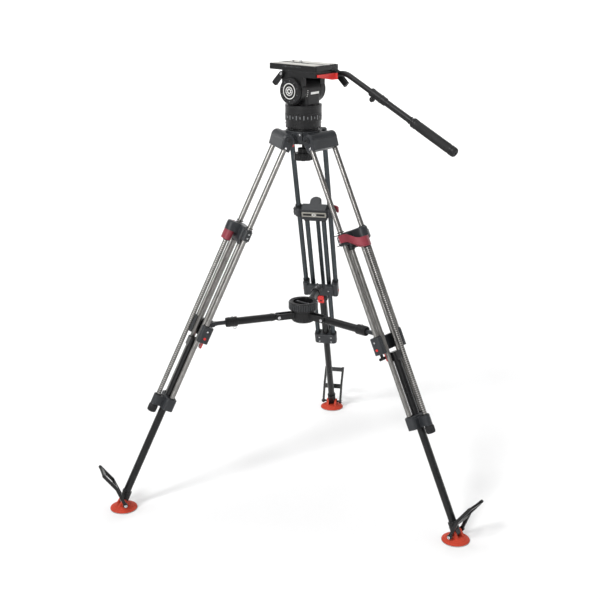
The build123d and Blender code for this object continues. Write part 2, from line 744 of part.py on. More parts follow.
# ---------------------------------------------------------------- tilt stage
with BuildPart() as platform:
    with BuildSketch(level(PLATFORM_Z, 0, (PLATFORM_FRONT + PLATE_REAR) / 2)):
        RectangleRounded(2 * PLATE_X, PLATFORM_FRONT - PLATE_REAR, 6)
    extrude(amount=PLATE_Z - 0.3 - PLATFORM_Z)
    with BuildSketch(upright(BARREL_X + 0.4), upright(-CHEEK_X)):
        with Locations((0, TILT_Z)):
            Circle(BARREL_R)
        with Locations((0, (TILT_Z + PLATFORM_Z) / 2 + 2)):
            Rectangle(2 * BARREL_R - 6, PLATFORM_Z - TILT_Z + 4)
    extrude(amount=CHEEK_X - BARREL_X - 0.4)
    with BuildSketch(level(PLATE_Z - 1, 0, (PLATFORM_FRONT + PLATE_REAR) / 2)):
        Rectangle(40, PLATFORM_FRONT - PLATE_REAR - 8)
    extrude(amount=4)
    with BuildSketch(upright(-BARREL_X - 16.4)):
        with Locations((0, TILT_Z)):
            Circle(AXLE_R + RUN)
    extrude(amount=2 * BARREL_X + 32.8, mode=Mode.SUBTRACT)
    with BuildSketch(upright(-DIAL_X + 2)):
        with Locations((0, TILT_Z)):
            Circle(6)
    extrude(amount=DIAL_X - 2 - CHEEK_X + 2)
    with BuildSketch(upright(-CHEEK_X - 7)):
        with Locations((BRAKE_Y, BRAKE_Z)):
            Circle(3.5)
    extrude(amount=9)
    with BuildSketch(upright(CHEEK_X - 8)):
        with Locations((BAR_Y, BAR_Z)):
            Circle(13.4)
    extrude(amount=8.4)
    with BuildSketch(upright(CHEEK_X)):
        with Locations((BAR_Y, BAR_Z)):
            Circle(5)
    extrude(amount=28)
    with BuildSketch(level(PLATE_Z - 6, RELEASE_X, RELEASE_Y + 1)):
        Rectangle(14, 14)
    extrude(amount=5.7)
    with BuildSketch(level(PLATE_Z - 26, RELEASE_X, RELEASE_Y)):
        Circle(3)
    extrude(amount=22)
save(platform, "platform")

with BuildPart() as tilt_drag_dial:
    with BuildSketch(upright(-DIAL_X)):
        with Locations((0, TILT_Z)):
            Circle(DIAL_R)
    extrude(amount=DIAL_X - CHEEK_X - 0.5)
    chamfer(tilt_drag_dial.edges().filter_by(GeomType.CIRCLE), 1.6)
    with BuildSketch(upright(-DIAL_X + 1.5)):
        with Locations((0, TILT_Z)):
            Circle(6 + RUN)
    extrude(amount=DIAL_X - CHEEK_X, mode=Mode.SUBTRACT)
save(tilt_drag_dial, "tilt_drag_dial")

with BuildPart() as tilt_brake_lever:
    with BuildSketch(upright(-CHEEK_X - 8.5)):
        with Locations((BRAKE_Y, BRAKE_Z)):
            Circle(8)
        with Locations((BRAKE_Y + 28, BRAKE_Z - 30)):
            Rectangle(17, 8, rotation=35)
        make_hull()
    extrude(amount=8)
    chamfer(tilt_brake_lever.edges().filter_by(Axis.X), 2)
    with BuildSketch(upright(-CHEEK_X - 7 - RUN)):
        with Locations((BRAKE_Y, BRAKE_Z)):
            Circle(3.5 + RUN)
    extrude(amount=9, mode=Mode.SUBTRACT)
save(tilt_brake_lever, "tilt_brake_lever")

with BuildPart() as camera_plate:
    with BuildSketch(level(PLATE_Z, 0, (PLATE_FRONT + PLATE_REAR) / 2)):
        RectangleRounded(2 * PLATE_X, PLATE_FRONT - PLATE_REAR, 7)
    extrude(amount=PLATE_TOP - PLATE_Z)
    chamfer(camera_plate.edges().group_by(Axis.Z)[-1], 1.5)
    with BuildSketch(level(PLATE_Z)):
        Rectangle(40.8, 400)
        with Locations((PLATE_X, 66), (-PLATE_X, 66)):
            with GridLocations(1, 4.5, 1, 12):
                Rectangle(3, 2.2)
    extrude(amount=3.6, mode=Mode.SUBTRACT)
    with BuildSketch(level(PLATE_Z, 0, 26)):
        SlotOverall(112, 21, rotation=90)
    extrude(amount=10, mode=Mode.SUBTRACT)
    with BuildSketch(level(PLATE_Z, 0, 26)):
        SlotOverall(100, 12.6, rotation=90)
    extrude(amount=PLATE_TOP - PLATE_Z, mode=Mode.SUBTRACT)
save(camera_plate, "camera_plate")

with BuildPart() as camera_screws:
    for screw_y, stud_r in SCREWS:
        with BuildSketch(level(PLATE_Z + 4, 0, screw_y)):
            Circle(9.5)
        extrude(amount=5.9)
        with BuildSketch(level(PLATE_Z + 9, 0, screw_y)):
            Circle(stud_r)
        extrude(amount=PLATE_TOP - PLATE_Z - 1)
save(camera_screws, "camera_screws")

with BuildPart() as plate_release_lever:
    rear = Plane(origin=(RELEASE_X, AXIS_Y + RELEASE_Y + 3, 0), x_dir=(1, 0, 0), z_dir=(0, -1, 0))
    with BuildSketch(rear):
        with BuildLine():
            Polyline((6, PLATE_Z - 26), (6, PLATE_Z - 6.5), (-86, PLATE_Z - 6.5), (-86, PLATE_Z - 14),
                     (-40, PLATE_Z - 22), (-20, PLATE_Z - 26), close=True)
        make_face()
    extrude(amount=6)
    with BuildSketch(level(PLATE_Z - 26, RELEASE_X, RELEASE_Y)):
        Circle(6)
    extrude(amount=19.5)
    with BuildSketch(level(PLATE_Z - 27, RELEASE_X, RELEASE_Y)):
        Circle(3 + RUN)
    extrude(amount=22, mode=Mode.SUBTRACT)
save(plate_release_lever, "plate_release_lever")


# ---------------------------------------------------------------- pan bar
BAR_RUN = math.cos(math.radians(BAR_DROP))
BAR_FALL = math.sin(math.radians(BAR_DROP))


def along_bar(t):
    """Section at t down the bar's straight part, measured from its bend."""
    origin = (BAR_X, AXIS_Y + BEND_Y - t * BAR_RUN, BEND_Z - t * BAR_FALL)
    return Plane(origin=origin, x_dir=(1, 0, 0), z_dir=(0, -BAR_RUN, -BAR_FALL))


with BuildPart() as pan_bar:
    with BuildLine(upright(BAR_X)):
        last = (BEND_Y - BAR_END * BAR_RUN, BEND_Z - BAR_END * BAR_FALL)
        bar_path = FilletPolyline((BAR_Y, BAR_Z), (BEND_Y, BEND_Z), last, radius=BEND_R)
    with BuildSketch(Plane(origin=bar_path @ 0, z_dir=bar_path % 0)):
        Circle(BAR_R)
    sweep(path=bar_path)
    with BuildSketch(upright(CHEEK_X + 0.8)):
        with Locations((BAR_Y, BAR_Z)):
            Circle(15)
    extrude(amount=BAR_X + BAR_R - CHEEK_X - 0.8)
    with BuildSketch(upright(CHEEK_X)):
        with Locations((BAR_Y, BAR_Z)):
            Circle(5 + RUN)
    extrude(amount=30, mode=Mode.SUBTRACT)
save(pan_bar, "pan_bar")

with BuildPart() as bar_clamp_lever:
    with BuildSketch(upright(BAR_X + BAR_R + 0.5)):
        with Locations((BAR_Y, BAR_Z)):
            Circle(9)
        with Locations((BAR_Y - 34, BAR_Z - 31)):
            Rectangle(7, 17, rotation=42)
        make_hull()
        with Locations((BAR_Y, BAR_Z)):
            Circle(5 + RUN, mode=Mode.SUBTRACT)
    extrude(amount=11)
save(bar_clamp_lever, "bar_clamp_lever")

ear_place = (BEND_Y - EAR_T * BAR_RUN + EAR_DROP * BAR_FALL, BEND_Z - EAR_T * BAR_FALL - EAR_DROP * BAR_RUN)
with BuildPart() as bar_extension:
    with BuildSketch(along_bar(SLEEVE_START)):
        Circle(SLEEVE_R)
    extrude(amount=SLEEVE_END - SLEEVE_START)
    with BuildSketch(along_bar(SLEEVE_START)):
        Circle(BAR_COLLAR_R)
    extrude(amount=BAR_COLLAR_LENGTH)
    chamfer(bar_extension.edges().filter_by(GeomType.CIRCLE), 0.8)
    with BuildSketch(upright(BAR_X - 4)):
        with Locations(ear_place):
            Circle(8)
            Rectangle(11, 15, rotation=BAR_DROP, align=(Align.CENTER, Align.MIN))
    extrude(amount=8)
    with BuildSketch(upright(BAR_X - 4)):
        with Locations(ear_place):
            Circle(3.2)
    extrude(amount=8, mode=Mode.SUBTRACT)
    with BuildSketch(along_bar(SLEEVE_START)):
        Circle(BAR_R + RUN)
    extrude(amount=SLEEVE_END - SLEEVE_START - 20, mode=Mode.SUBTRACT)
save(bar_extension, "bar_extension")

with BuildPart() as bar_grip:
    with BuildSketch(along_bar(GRIP_START)):
        Circle(GRIP_R)
    extrude(amount=GRIP_END - GRIP_START)
    chamfer(bar_grip.edges().filter_by(GeomType.CIRCLE), 3)
    with BuildSketch(along_bar(GRIP_START)):
        Circle(SLEEVE_R + RUN)
    extrude(amount=SLEEVE_END - GRIP_START, mode=Mode.SUBTRACT)
    with BuildSketch(along_bar(GRIP_START)):
        Circle(3)
    extrude(amount=GRIP_END - GRIP_START, mode=Mode.SUBTRACT)
save(bar_grip, "bar_grip")
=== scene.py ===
import json
import math

import bmesh
import bpy
from mathutils import Matrix, Vector


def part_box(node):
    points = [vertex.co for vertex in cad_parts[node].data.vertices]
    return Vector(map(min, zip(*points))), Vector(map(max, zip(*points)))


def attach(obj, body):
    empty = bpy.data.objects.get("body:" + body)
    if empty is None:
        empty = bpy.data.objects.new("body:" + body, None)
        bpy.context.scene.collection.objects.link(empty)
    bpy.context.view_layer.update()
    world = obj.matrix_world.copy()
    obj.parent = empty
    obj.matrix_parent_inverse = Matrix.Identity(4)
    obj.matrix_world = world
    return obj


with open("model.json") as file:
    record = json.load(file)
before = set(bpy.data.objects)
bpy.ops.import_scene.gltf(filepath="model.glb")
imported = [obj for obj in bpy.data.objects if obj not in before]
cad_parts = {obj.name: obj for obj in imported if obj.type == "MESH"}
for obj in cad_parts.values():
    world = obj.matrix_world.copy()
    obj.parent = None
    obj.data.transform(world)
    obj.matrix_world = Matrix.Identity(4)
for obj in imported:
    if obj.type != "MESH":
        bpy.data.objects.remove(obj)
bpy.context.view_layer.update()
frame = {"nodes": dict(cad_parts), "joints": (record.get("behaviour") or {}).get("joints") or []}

MM = 0.001
UP = Vector((0, 0, 1))
ACROSS = Vector((1, 0, 0))
AHEAD = Vector((0, 1, 0))
JOINTS = {joint["name"]: joint for joint in frame["joints"]}
NODES = frame["nodes"]
LEG_NAMES = ("front_right", "rear", "front_left")


# ------------------------------------------------------------------ shader building
class Socket:
    """A shader value that ordinary arithmetic turns into Math nodes."""

    def __init__(self, finish, link):
        self.finish = finish
        self.link = link

    def math(self, operation, *others):
        return self.finish.node("ShaderNodeMath", {"operation": operation}, self, *others)

    def __add__(self, other):
        return self.math("ADD", other)

    def __sub__(self, other):
        return self.math("SUBTRACT", other)

    def __mul__(self, other):
        return self.math("MULTIPLY", other)

    def __rsub__(self, other):
        return self.finish.node("ShaderNodeMath", {"operation": "SUBTRACT"}, other, self)

    __radd__ = __add__
    __rmul__ = __mul__


class Finish:
    """One material: its node tree, with a method that adds any node."""

    def __init__(self, name, roughness=0.5, metallic=0.0, coat=0.0, coat_roughness=0.1, specular=0.35):
        self.material = bpy.data.materials.new(name)
        self.material.use_nodes = True
        self.tree = self.material.node_tree
        self.shader = self.tree.nodes["Principled BSDF"]
        for socket, value in (("Roughness", roughness), ("Metallic", metallic), ("Coat Weight", coat),
                              ("Coat Roughness", coat_roughness), ("Specular IOR Level", specular)):
            self.shader.inputs[socket].default_value = value

    def set(self, socket, value):
        """Links a varying value to one of the shader's sockets."""
        self.tree.links.new(value.link, self.shader.inputs[socket])

    def node(self, kind, settings, *values, out=0, **named):
        """Adds a node: its settings first, then the values or links of its sockets."""
        made = self.tree.nodes.new(kind)
        for key, value in settings.items():
            setattr(made, key, value)
        for key, value in [*enumerate(values), *named.items()]:
            if isinstance(value, Socket):
                self.tree.links.new(value.link, made.inputs[key])
            elif value is not None:
                made.inputs[key].default_value = value
        return Socket(self, made.outputs[out])

    def place(self):
        """Position in the object's own frame, in metres."""
        return self.node("ShaderNodeTexCoord", {}, out=3)

    def noise(self, scale, detail=2.0):
        return self.node("ShaderNodeTexNoise", {}, Vector=self.place(), Scale=scale, Detail=detail)

    def dot(self, vector, other):
        return self.node("ShaderNodeVectorMath", {"operation": "DOT_PRODUCT"}, vector, other, out=1)

    def mix(self, factor, low, high):
        """Blend of two colours."""
        plain = [None] * 5    # the node's inputs for numbers and vectors
        return self.node("ShaderNodeMix", {"data_type": "RGBA"}, factor, *plain, low, high, out=2)

    def softened(self, radius):
        """Surface direction with the edges rounded by a radius in metres."""
        return self.node("ShaderNodeBevel", {"samples": 4}, Radius=radius)

    def bump(self, height, strength, distance, edge=0.0009):
        """Surface relief on top of the softened edges; distance and edge are in metres."""
        self.set("Normal", self.node("ShaderNodeBump", {}, Strength=strength, Distance=distance,
                                     Height=height, Normal=self.softened(edge)))

    def wear(self, radius=0.0011):
        """0 on flat ground, towards 1 along the edges."""
        facing = self.node("ShaderNodeNewGeometry", {}, out=3)
        return ((1.0 - self.dot(self.softened(radius), facing)) * 7.0).math("MINIMUM", 1.0)


def colour(red, green=None, blue=None):
    """Opaque colour, grey where one value is given."""
    if green is None:
        return (red, red, red, 1.0)
    return (red, green, blue, 1.0)


def scaled(base, factor):
    """The same hue, darker or lighter."""
    return (base[0] * factor, base[1] * factor, base[2] * factor, 1.0)


def painted(name, base, roughness=0.42, bare=0.2, grain=900.0, metallic=0.0, specular=0.35):
    """Painted or anodised metal: fine grain, soft patches, and bare metal along its edges."""
    finish = Finish(name, metallic=metallic, specular=specular)
    patch = finish.noise(16.0, 3.0)
    tone = finish.mix(patch, scaled(base, 0.7), scaled(base, 1.35))
    rubbed = finish.wear() * finish.noise(140.0, 3.0).math("POWER", 2.0) * 1.6
    finish.set("Base Color", finish.mix(rubbed, tone, colour(bare)))
    finish.set("Roughness", patch * 0.16 + (roughness - 0.08))
    finish.bump(finish.noise(grain, 2.0), 0.16, 0.0003)
    return finish.material


def moulded(name, base, roughness=0.38, coat=0.0, grain=700.0, specular=0.35):
    """Moulded plastic with a fine leather grain."""
    finish = Finish(name, coat=coat, coat_roughness=0.15, specular=specular)
    cloud = finish.noise(30.0, 2.0)
    tone = finish.mix(cloud, scaled(base, 0.82), scaled(base, 1.18))
    finish.set("Base Color", finish.mix(finish.wear() * 0.35, tone, scaled(base, 1.9)))
    finish.set("Roughness", cloud * 0.12 + (roughness - 0.06))
    cells = finish.node("ShaderNodeTexVoronoi", {}, Vector=finish.place(), Scale=grain)
    finish.bump(cells, 0.2, 0.0003)
    return finish.material


def rubber(name, base, grain=500.0, dusty=1.5):
    """Matt rubber with dusty patches and scuffs."""
    finish = Finish(name, roughness=0.7, specular=0.3)
    dust = finish.noise(35.0, 5.0)
    scuff = finish.noise(160.0, 4.0)
    tone = finish.mix(dust, scaled(base, 0.8), scaled(base, dusty))
    finish.set("Base Color", finish.mix(scuff * 0.25, tone, scaled(base, 0.5)))
    finish.set("Roughness", dust * 0.2 + 0.55)
    finish.bump(finish.noise(grain, 3.0), 0.3, 0.0004)
    return finish.material


def bright(name, base, roughness=0.22):
    """Turned bright metal with fine tool marks."""
    finish = Finish(name, metallic=1.0)
    marks = finish.noise(800.0, 2.0)
    finish.set("Base Color", finish.mix(marks, scaled(base, 0.8), scaled(base, 1.0)))
    finish.set("Roughness", marks * 0.15 + (roughness - 0.05))
    finish.bump(marks, 0.08, 0.0001, edge=0.0003)
    return finish.material


# ------------------------------------------------------------------ frames to build in
def stand(origin, z, x):
    """Frame at an origin in metres, whose own z points one way and whose x lies near another."""
    z = z.normalized()
    y = z.cross(x).normalized()
    x = y.cross(z)
    rows = [(x[i], y[i], z[i], origin[i]) for i in range(3)]
    return Matrix((*rows, (0, 0, 0, 1)))


def shift(x, y, z):
    """Move given in millimetres."""
    return Matrix.Translation(Vector((x, y, z)) * MM)


def spin(degrees, axis="Z"):
    return Matrix.Rotation(math.radians(degrees), 4, axis)


class Leg:
    """Directions and places of one leg, read from its joints."""

    def __init__(self, name):
        self.name = name
        hinge = JOINTS["leg_hinge_" + name]
        self.hinge = Vector(hinge["pos_m"])
        self.side = -Vector(hinge["axis"])
        self.down = Vector(JOINTS["middle_slide_" + name]["axis"])
        self.normal = self.side.cross(self.down)
        self.out = UP.cross(self.side)
        self.ankle = Vector(JOINTS["ankle_" + name]["pos_m"])
        self.hub_pivot = Vector(JOINTS["arm_inner_hinge_" + name]["pos_m"])

    def at(self, s, w=0.0, n=0.0):
        """Point s down the leg, w sideways and n outwards from its hinge, given in millimetres."""
        return self.hinge + (self.down * s + self.side * w + self.normal * n) * MM

    def facing(self, s, w, n, z, x=None):
        """Frame at a point of the leg whose own z points along z."""
        return stand(self.at(s, w, n), z, x or self.down)


LEGS = [Leg(name) for name in LEG_NAMES]
TILT_AXIS = Vector(JOINTS["tilt"]["pos_m"])
CROWN_AXIS = Vector((TILT_AXIS.x, TILT_AXIS.y, 0))
BAR_PIVOT = Vector(JOINTS["pan_bar_hinge"]["pos_m"])
BAR_DOWN = Vector(JOINTS["bar_extension_slide"]["axis"])


# ------------------------------------------------------------------ shapes
def turned(profile, steps=40, hexed=(), ribs=None, closed=False):
    """Shape turned about z from (radius, height) points in millimetres.

    The points numbered in hexed become hexagons; ribs is (how many, how deep, on which points).
    """
    shape = bmesh.new()
    if ribs:
        steps = ribs[0] * 4
    rings = []
    for index, (radius, height) in enumerate(profile):
        if radius == 0:
            rings.append([shape.verts.new((0, 0, height))])
            continue
        ring = []
        for step in range(steps):
            turn = 2 * math.pi * step / steps
            reach = radius
            if index in hexed:
                reach *= math.cos(math.pi / 6) / math.cos(turn % (math.pi / 3) - math.pi / 6)
            if ribs and index in ribs[2] and step % 4 < 2:
                reach -= ribs[1]
            ring.append(shape.verts.new((reach * math.cos(turn), reach * math.sin(turn), height)))
        rings.append(ring)
    if closed:
        rings.append(rings[0])
    for low, high in zip(rings, rings[1:]):
        for step in range(steps):
            corners = (low[step % len(low)], low[(step + 1) % len(low)],
                       high[(step + 1) % len(high)], high[step % len(high)])
            corners = list(dict.fromkeys(corners))
            shape.faces.new(corners)
    bmesh.ops.recalc_face_normals(shape, faces=shape.faces)
    return shape


def slab(outline, thickness, bevel=0.3):
    """Plate of a given outline in millimetres, standing on z = 0, with its edges eased."""
    shape = bmesh.new()
    low = [shape.verts.new((x, y, 0)) for x, y in outline]
    high = [shape.verts.new((x, y, thickness)) for x, y in outline]
    shape.faces.new(low[::-1])
    shape.faces.new(high)
    for index in range(len(outline)):
        after = (index + 1) % len(outline)
        shape.faces.new((low[index], low[after], high[after], high[index]))
    bmesh.ops.recalc_face_normals(shape, faces=shape.faces)
    if bevel:
        bmesh.ops.bevel(shape, geom=shape.edges[:], offset=bevel, segments=2, affect="EDGES", profile=0.5)
    return shape


def rounded(width, height, radius, steps=5):
    """Outline of a rectangle with round corners, about its middle."""
    points = []
    for corner, (x, y) in enumerate(((1, 1), (-1, 1), (-1, -1), (1, -1))):
        for step in range(steps + 1):
            turn = math.pi / 2 * (corner + step / steps)
            points.append((x * (width / 2 - radius) + radius * math.cos(turn),
                           y * (height / 2 - radius) + radius * math.sin(turn)))
    return points


def band(inner, outer, start, end, steps=16):
    """Outline of a piece of a ring between two angles in degrees."""
    turns = [math.radians(start + (end - start) * step / steps) for step in range(steps + 1)]
    far = [(outer * math.cos(turn), outer * math.sin(turn)) for turn in turns]
    near = [(inner * math.cos(turn), inner * math.sin(turn)) for turn in reversed(turns)]
    return far + near


def ring(inner, outer, low, high):
    """Flat ring with eased corners, as a closed turned profile."""
    ease = min(0.3, (outer - inner) / 4, (high - low) / 4)
    profile = ((inner, low + ease), (inner + ease, low), (outer - ease, low), (outer, low + ease),
               (outer, high - ease), (outer - ease, high), (inner + ease, high), (inner, high - ease))
    return turned(profile, steps=48, closed=True)


def cap_screw(radius, height):
    """Cap screw with a hexagon socket, standing on z = 0."""
    socket = radius * 0.52
    profile = ((radius, -0.4), (radius, height * 0.75), (radius * 0.86, height), (socket, height),
               (socket, height * 0.35), (0, height * 0.3))
    return turned(profile, steps=24, hexed=(3, 4))


def button(radius, height):
    """Low domed button."""
    profile = ((radius, -0.4), (radius, height * 0.5), (radius * 0.9, height * 0.82),
               (radius * 0.6, height), (0, height))
    return turned(profile, steps=28)


class Piece:
    """A named piece, put together from shapes that are placed by frames."""

    def __init__(self, name):
        self.name = name
        self.mesh = bmesh.new()

    def add(self, shape, place):
        part = bpy.data.meshes.new("part")
        shape.to_mesh(part)
        shape.free()
        part.transform(place @ Matrix.Scale(MM, 4))
        self.mesh.from_mesh(part)
        bpy.data.meshes.remove(part)

    def finish(self, material, body, slot):
        mesh = bpy.data.meshes.new(self.name)
        self.mesh.to_mesh(mesh)
        self.mesh.free()
        for polygon in mesh.polygons:
            polygon.use_smooth = True
        mesh.set_sharp_from_angle(angle=math.radians(32))
        mesh.materials.append(material)
        piece = bpy.data.objects.new(self.name, mesh)
        bpy.context.scene.collection.objects.link(piece)
        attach(piece, body)


def single(name, shape, place, material, body, slot):
    """A piece of one shape."""
    piece = Piece(name)
    piece.add(shape, place)
    piece.finish(material, body, slot)


# ------------------------------------------------------------------ carbon tubes
WEAVE = 4.6 * MM          # width of one tow
TUBE_RADIUS = 8.0 * MM
UPPER_W = 53.5            # upper tubes, to each side of the leg's middle
MID_W = 28.75             # middle tubes


def carbon(name, leg, offset, dark, light, roughness):
    """Woven carbon tubes of one leg, offset metres to each side of its middle.

    The weave follows each tube's length and girth.
    """
    finish = Finish(name, metallic=1.0)
    finish.shader.inputs["Specular Tint"].default_value = colour(0.04)
    here = finish.node("ShaderNodeVectorMath", {"operation": "SUBTRACT"}, finish.place(), tuple(leg.hinge))
    along = finish.dot(here, tuple(leg.down))
    sideways = finish.dot(here, tuple(leg.side)).math("ABSOLUTE") - offset
    outwards = finish.dot(here, tuple(leg.normal))
    girth = outwards.math("ARCTAN2", sideways) * (TUBE_RADIUS / WEAVE)
    length = along * (1 / WEAVE)
    tow = (girth + length * 0.7).math("PINGPONG", 0.5) * 2.0
    cross = (girth - length * 0.7).math("PINGPONG", 0.5) * 2.0
    streak = finish.noise(45.0, 4.0)
    finish.set("Base Color", finish.mix(tow * cross * 0.8 + streak * 0.35, dark, light))
    finish.set("Roughness", tow * 0.1 + roughness)
    finish.bump(tow + cross, 0.12, 0.0002)
    return finish.material


CHARCOAL = painted("charcoal_casting", (0.021, 0.023, 0.026), 0.4, bare=0.16)
BLACK_CAST = painted("black_casting", (0.0075, 0.0075, 0.008), 0.36, bare=0.1, specular=0.3)
BLACK_METAL = painted("black_anodised", (0.008, 0.008, 0.0085), 0.3, bare=0.14, grain=1500.0, metallic=0.2)
GREY_METAL = painted("grey_anodised", (0.035, 0.037, 0.04), 0.32, bare=0.2, grain=1500.0, metallic=0.35)
BLACK_PLASTIC = moulded("black_moulding", (0.009, 0.009, 0.0095), specular=0.3)
MAROON = moulded("maroon_moulding", (0.24, 0.035, 0.05), 0.42)
RED = moulded("red_moulding", (0.62, 0.016, 0.012), 0.33, coat=0.3)
PAD_RED = rubber("pad_rubber", (0.52, 0.05, 0.022), dusty=1.25)
GRIP = rubber("grip_rubber", (0.010, 0.010, 0.0105), 650.0)
SEAL = rubber("seal_rubber", (0.013, 0.013, 0.013), 900.0)
SOLE = rubber("sole_rubber", (0.34, 0.34, 0.33))
INLAY = painted("plate_inlay", (0.55, 0.54, 0.5), 0.3, bare=0.6)
STEEL = bright("turned_steel", (0.62, 0.62, 0.63))
SILVER = painted("satin_silver", (0.72, 0.72, 0.70), 0.3, bare=0.8, metallic=0.35)
ALLOY = painted("label_alloy", (0.30, 0.29, 0.25), 0.35, bare=0.5)
PALE = moulded("pale_marking", (0.16, 0.165, 0.17), 0.5)
VIAL = moulded("vial_liquid", (0.30, 0.42, 0.05), 0.08, coat=1.0)
CARBON = {}
for leg in LEGS:
    # The front_right leg's tubes get darker weave tones and a higher roughness than the other two legs. This is
    # painted shade on that leg, since all three legs have the same carbon.
    if leg.name == "front_right":
        dark, light, roughness = colour(0.05, 0.057, 0.062), colour(0.12, 0.134, 0.143), 0.4
    else:
        dark, light, roughness = colour(0.04, 0.04, 0.042), colour(0.6, 0.58, 0.55), 0.26
    for part, offset in (("upper", UPPER_W * MM), ("mid", MID_W * MM)):
        name = f"carbon_{part}_{leg.name}"
        CARBON[part, leg.name] = carbon(name, leg, offset, dark, light, roughness)


def dress(material, *nodes):
    """Gives CAD nodes their material."""
    for node in nodes:
        mesh = NODES[node].data
        mesh.materials.clear()
        mesh.materials.append(material)


for leg in LEGS:
    for material, *pieces in ((CHARCOAL, "yoke", "lower_bracket", "clamp_housing", "mid_bracket"),
                              (BLACK_METAL, "lower_stage"), (BLACK_CAST, "foot_lever", "arm_inner"),
                              (GREY_METAL, "arm_outer"), (MAROON, "clamp_lever"),
                              (BLACK_PLASTIC, "lock_knob"), (PAD_RED, "foot_pad"), (RED, "release_lever"),
                              (CARBON["upper", leg.name], "upper_tubes"),
                              (CARBON["mid", leg.name], "mid_tubes")):
        dress(material, *(f"{piece}_{leg.name}" for piece in pieces))
dress(CHARCOAL, "crown")
dress(BLACK_METAL, "half_ball", "camera_plate")
dress(BLACK_CAST, "hub_body", "pan_base", "head_body", "platform", "pan_bar", "bar_extension",
      "tilt_brake_lever", "bar_clamp_lever")
dress(BLACK_PLASTIC, "tie_down_knob", "pan_drag_ring", "tilt_drag_dial", "pan_brake_lever")
dress(GRIP, "bar_grip")
dress(STEEL, "camera_screws")
dress(RED, "plate_release_lever")


# ------------------------------------------------------------------ leg trim
CHEEK = 62.0              # half width of a yoke
PIN_HEAD_END = 66.0
ROD_N = 38.0              # control rod, in front of the middle tubes
LABEL_S = 323             # stations down the leg: middle of the clamp's label
KNOB_S = 950              # upper face of the lock knob
KNOB_END_S = 972          # and its lower face
LABEL_N = -17.0           # face that the clamp's label lies on
LABEL_THICK = 0.9
ANKLE_PIN_END = 40


def trim_yoke(leg):
    """Hinge pin sockets, side screws and the red stop inside the yoke."""
    sockets = Piece(f"hinge_sockets_{leg.name}")
    screws = Piece(f"yoke_screws_{leg.name}")
    for sign in (1, -1):
        sockets.add(cap_screw(6.6, 1.6), leg.facing(0, sign * PIN_HEAD_END, 0, leg.side * sign))
        screws.add(cap_screw(3.4, 1.2), leg.facing(26, sign * CHEEK, 0, leg.side * sign))
    sockets.finish(BLACK_METAL, "crown", "black_metal")
    screws.finish(STEEL, "leg_" + leg.name, "steel")
    if leg.name == "front_right":
        single("spread_stop", slab(rounded(17, 8, 2), 5, 0.8), leg.facing(36, -48, -13, leg.normal * -1), RED,
               "leg_" + leg.name, "red")


def trim_clamp(leg):
    """Label, sleeve screws, lever catch and seals of the sliding clamp."""
    body = "middle_" + leg.name
    back = leg.normal * -1
    single(f"clamp_label_{leg.name}", slab(rounded(20, 84, 3), LABEL_THICK),
           leg.facing(LABEL_S, 0, LABEL_N, back), ALLOY, body, "grey_metal")
    panels = Piece(f"label_panels_{leg.name}")
    for sign in (1, -1):
        panels.add(slab(rounded(9, 29, 1.2), 0.4, 0.1),
                   leg.facing(LABEL_S, sign * 23, LABEL_N - LABEL_THICK, back))
    panels.finish(BLACK_PLASTIC, body, "knob_black")
    single(f"label_ring_{leg.name}", ring(3.4, 6.6, 0, 0.8),
           leg.facing(LABEL_S, 0, LABEL_N - LABEL_THICK, back), SILVER, body, "steel")
    screws = Piece(f"sleeve_screws_{leg.name}")
    for sign in (1, -1):
        for s in (315, 328):
            screws.add(cap_screw(2.7, 2.2), leg.facing(s, sign * 71.5, 0, leg.side * sign))
    screws.finish(STEEL, body, "steel")
    catch = Piece(f"lever_catch_{leg.name}")
    prong = ((-6, -2), (-6, 10), (6, 15), (12, 14), (12, 9), (4, 4), (1, -2))
    for s in (302.0, 334.0):
        catch.add(slab(prong, 2.6, 0.6), stand(leg.at(s, 64, 2), leg.down, leg.side))
    catch.finish(BLACK_PLASTIC, body, "knob_black")
    seals = Piece(f"clamp_seals_{leg.name}")
    for sign in (1, -1):
        seals.add(ring(8.1, 10.8, 0, 3.2), leg.facing(355, sign * MID_W, 0, leg.down, leg.side))
        seals.add(ring(8.3, 11.2, 0, 2.4), leg.facing(298, sign * UPPER_W, 0, leg.down * -1, leg.side))
    seals.add(ring(7.2, 10.5, 0, 2.5), leg.facing(361.7, 0, ROD_N, leg.down, leg.side))
    seals.finish(SEAL, body, "grip_rubber")


